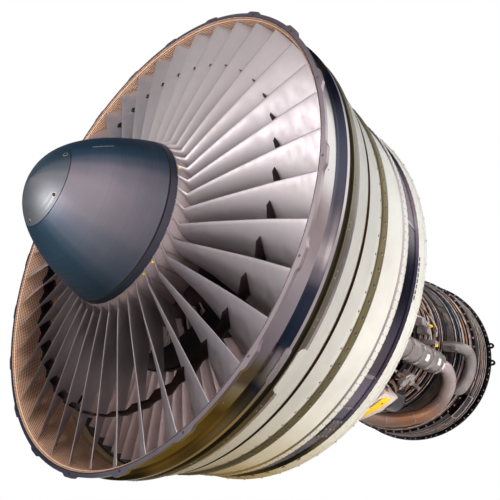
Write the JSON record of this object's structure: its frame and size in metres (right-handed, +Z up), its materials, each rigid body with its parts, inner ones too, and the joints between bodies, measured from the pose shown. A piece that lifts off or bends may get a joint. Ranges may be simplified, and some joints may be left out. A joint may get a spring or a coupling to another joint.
{
  "type": "jet engine",
  "caption": "Turbofan jet engine: snubbered fan with spinner in a ringed case, compressor, combustor and turbine core, gearbox and ducts below.",
  "frame": {"origin": "centre of the inlet flange's front face, on the engine's axis", "axes": "+X along the engine's axis from the inlet to the exhaust, +Z up"},
  "size_m": [3.771, 2.466, 2.466],
  "materials": {
    "fan_titanium": "satin titanium",
    "hub_titanium": "machined titanium",
    "spinner_skin": "satin slate coating",
    "barrel_alloy": "polished alloy",
    "case_alloy": "anodised alloy",
    "liner_abradable": "abradable lining",
    "vane_alloy": "satin alloy",
    "frame_alloy": "satin alloy",
    "core_steel": "heat-tinted steel",
    "hot_steel": "heat-tinted nickel alloy",
    "tube_steel": "heat-tinted tube",
    "shaft_steel": "ground steel",
    "gearbox_casting": "cast alloy",
    "accessory_dark": "dark gloss coating",
    "duct_sleeve": "smooth grey sleeve",
    "clamp_steel": "plain steel band",
    "handling_yellow": "yellow paint",
    "panel_alloy": "satin sheet"
  },
  "bodies": {
    "casing": {"booster_vanes": "vane_alloy", "booster_case": "frame_alloy", "splitter": "vane_alloy", "fan_case_front": "barrel_alloy", "fan_liner": "liner_abradable", "containment_case": "case_alloy", "fan_exit_case": "case_alloy", "fan_case_rear": "case_alloy", "outer_vane_ring": "frame_alloy", "inner_vane_ring": "frame_alloy", "exit_guide_vanes": "vane_alloy", "fan_frame": "frame_alloy", "intermediate_case": "frame_alloy", "lp_front_bearing": "shaft_steel", "front_bearing_cone": "frame_alloy", "core_front_bearing": "shaft_steel", "hpc_vanes": "vane_alloy", "hpc_case": "core_steel", "diffuser_case": "core_steel", "combustor_case": "core_steel", "combustor_inner_case": "core_steel", "core_rear_bearing": "shaft_steel", "combustor_liner": "hot_steel", "turbine_nozzle": "hot_steel", "hpt_case": "core_steel", "lpt_vanes": "hot_steel", "lpt_case": "core_steel", "cooling_tubes": "tube_steel", "exhaust_case": "core_steel", "lp_rear_bearing": "shaft_steel", "rear_cover": "core_steel", "front_mount": "shaft_steel", "gearbox": "gearbox_casting", "starter": "accessory_dark", "generator": "accessory_dark", "fuel_pump": "accessory_dark", "hydraulic_pump": "accessory_dark", "handling_plate": "handling_yellow", "clamped_duct": "duct_sleeve", "duct_clamps": "clamp_steel", "bent_duct": "tube_steel", "elbow_duct": "tube_steel", "turbine_panel": "panel_alloy", "access_panel": "panel_alloy"},
    "lp_spool": {"fan_blades": "fan_titanium", "fan_hub": "hub_titanium", "spinner_cap": "spinner_skin", "spinner_cone": "spinner_skin", "lp_shaft": "shaft_steel", "booster_drum": "hub_titanium", "booster_blades": "vane_alloy", "lpt_drum": "hot_steel", "lpt_blades": "hot_steel"},
    "core_spool": {"core_shaft": "shaft_steel", "hpc_drum": "hub_titanium", "hpc_blades": "vane_alloy", "hpt_discs": "hot_steel", "hpt_blades": "hot_steel"},
    "bleed_valve": {"bleed_ring": "panel_alloy"},
    "vane_control": {"unison_rings": "clamp_steel"}
  },
  "joints": [
    {"name": "lp_spin", "type": "hinge", "parent": "casing", "child": "lp_spool", "pos_m": [0, 0, 0], "axis": [1, 0, 0], "continuous": true},
    {"name": "core_spin", "type": "hinge", "parent": "casing", "child": "core_spool", "pos_m": [1.2, 0, 0], "axis": [1, 0, 0], "continuous": true},
    {"name": "bleed_slide", "type": "slide", "parent": "casing", "child": "bleed_valve", "axis": [1, 0, 0], "range_m": [0, 0.025]},
    {"name": "vane_turn", "type": "hinge", "parent": "casing", "child": "vane_control", "pos_m": [1, 0, 0], "axis": [1, 0, 0], "range_deg": [-8, 8]}
  ]
}
